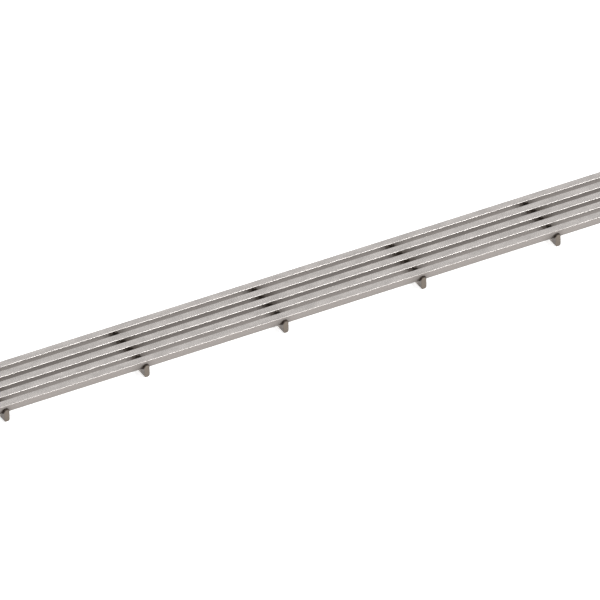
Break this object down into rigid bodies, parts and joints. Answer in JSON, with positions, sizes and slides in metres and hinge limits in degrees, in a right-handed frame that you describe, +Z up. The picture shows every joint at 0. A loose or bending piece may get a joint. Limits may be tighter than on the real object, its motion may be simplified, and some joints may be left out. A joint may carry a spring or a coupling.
{
  "type": "linear shower drain grate",
  "caption": "Long narrow slotted drain grate: parallel wedge wires resistance welded across narrow support rods, laid flush in a shower floor channel to let water through.",
  "frame": {"origin": "middle of the grate's length and width, on the plane of the rods' undersides", "axes": "+X along the wires, +Y across them, +Z up towards the face that is walked on"},
  "size_m": [0.66, 0.035, 0.0096],
  "materials": {
    "wire_steel": "linished face, bright rolled edges and smooth drawn flanks",
    "rod_steel": "drawn stainless steel, dull, sheared ends",
    "weld_flash": "dark heat tint of resistance welding"
  },
  "bodies": {
    "root": {"wedge_wire_1": "wire_steel", "wedge_wire_2": "wire_steel", "wedge_wire_3": "wire_steel", "wedge_wire_4": "wire_steel", "wedge_wire_5": "wire_steel", "support_rod_1": "rod_steel", "support_rod_2": "rod_steel", "support_rod_3": "rod_steel", "support_rod_4": "rod_steel", "support_rod_5": "rod_steel", "support_rod_6": "rod_steel", "support_rod_7": "rod_steel", "support_rod_8": "rod_steel", "weld_row_1": "weld_flash", "weld_row_2": "weld_flash", "weld_row_3": "weld_flash", "weld_row_4": "weld_flash", "weld_row_5": "weld_flash", "weld_row_6": "weld_flash", "weld_row_7": "weld_flash", "weld_row_8": "weld_flash"}
  },
  "joints": []
}
